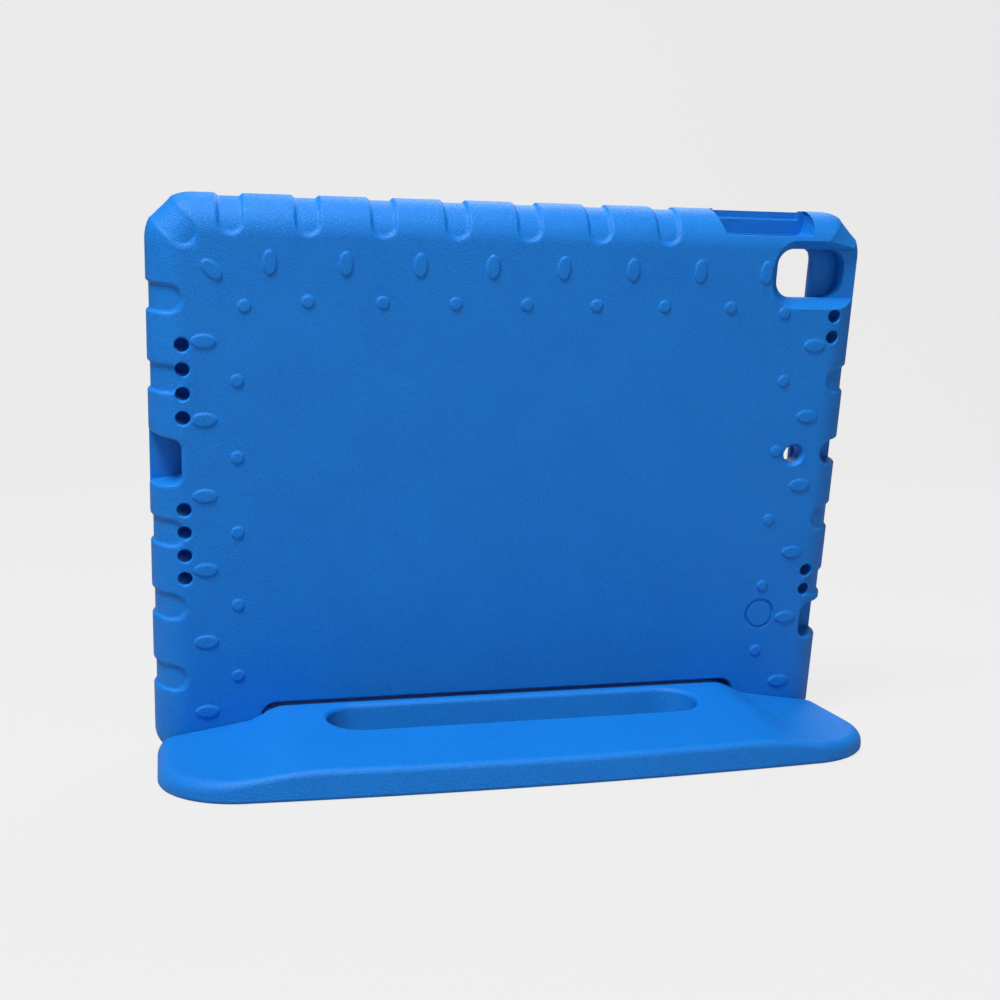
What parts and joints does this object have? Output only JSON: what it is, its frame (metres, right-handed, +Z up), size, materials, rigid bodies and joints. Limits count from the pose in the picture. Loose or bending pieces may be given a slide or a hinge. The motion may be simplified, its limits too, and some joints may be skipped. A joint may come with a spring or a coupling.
{
  "type": "tablet bumper case with stand handle",
  "caption": "Soft moulded foam bumper case for a flat tablet, with a fluted rim, camera and port openings, and a wide pivoting handle that folds back as a stand.",
  "frame": {"origin": "on the table plane, on the middle of the handle's underside, 8 mm behind the hinge axis", "axes": "+X along the hinge, to the right for someone who looks at the back of the case; +Z up from the table; the handle lies towards -Y, and the open front that takes the tablet faces +Y"},
  "size_m": [0.2786, 0.09, 0.2132],
  "materials": {
    "foam": "matt closed-cell EVA foam with a fine leather-like grain",
    "pin_plastic": "plain moulded nylon"
  },
  "bodies": {
    "stand": {"stand_handle": "foam", "pivot_pin_left": "pin_plastic", "pivot_pin_right": "pin_plastic"},
    "shell": {"bumper_shell": "foam"}
  },
  "joints": [
    {"name": "stand_hinge", "type": "hinge", "parent": "stand", "child": "shell", "pos_m": [0, 0.008, 0.0095], "axis": [-1, 0, 0], "range_deg": [0, 100]}
  ]
}
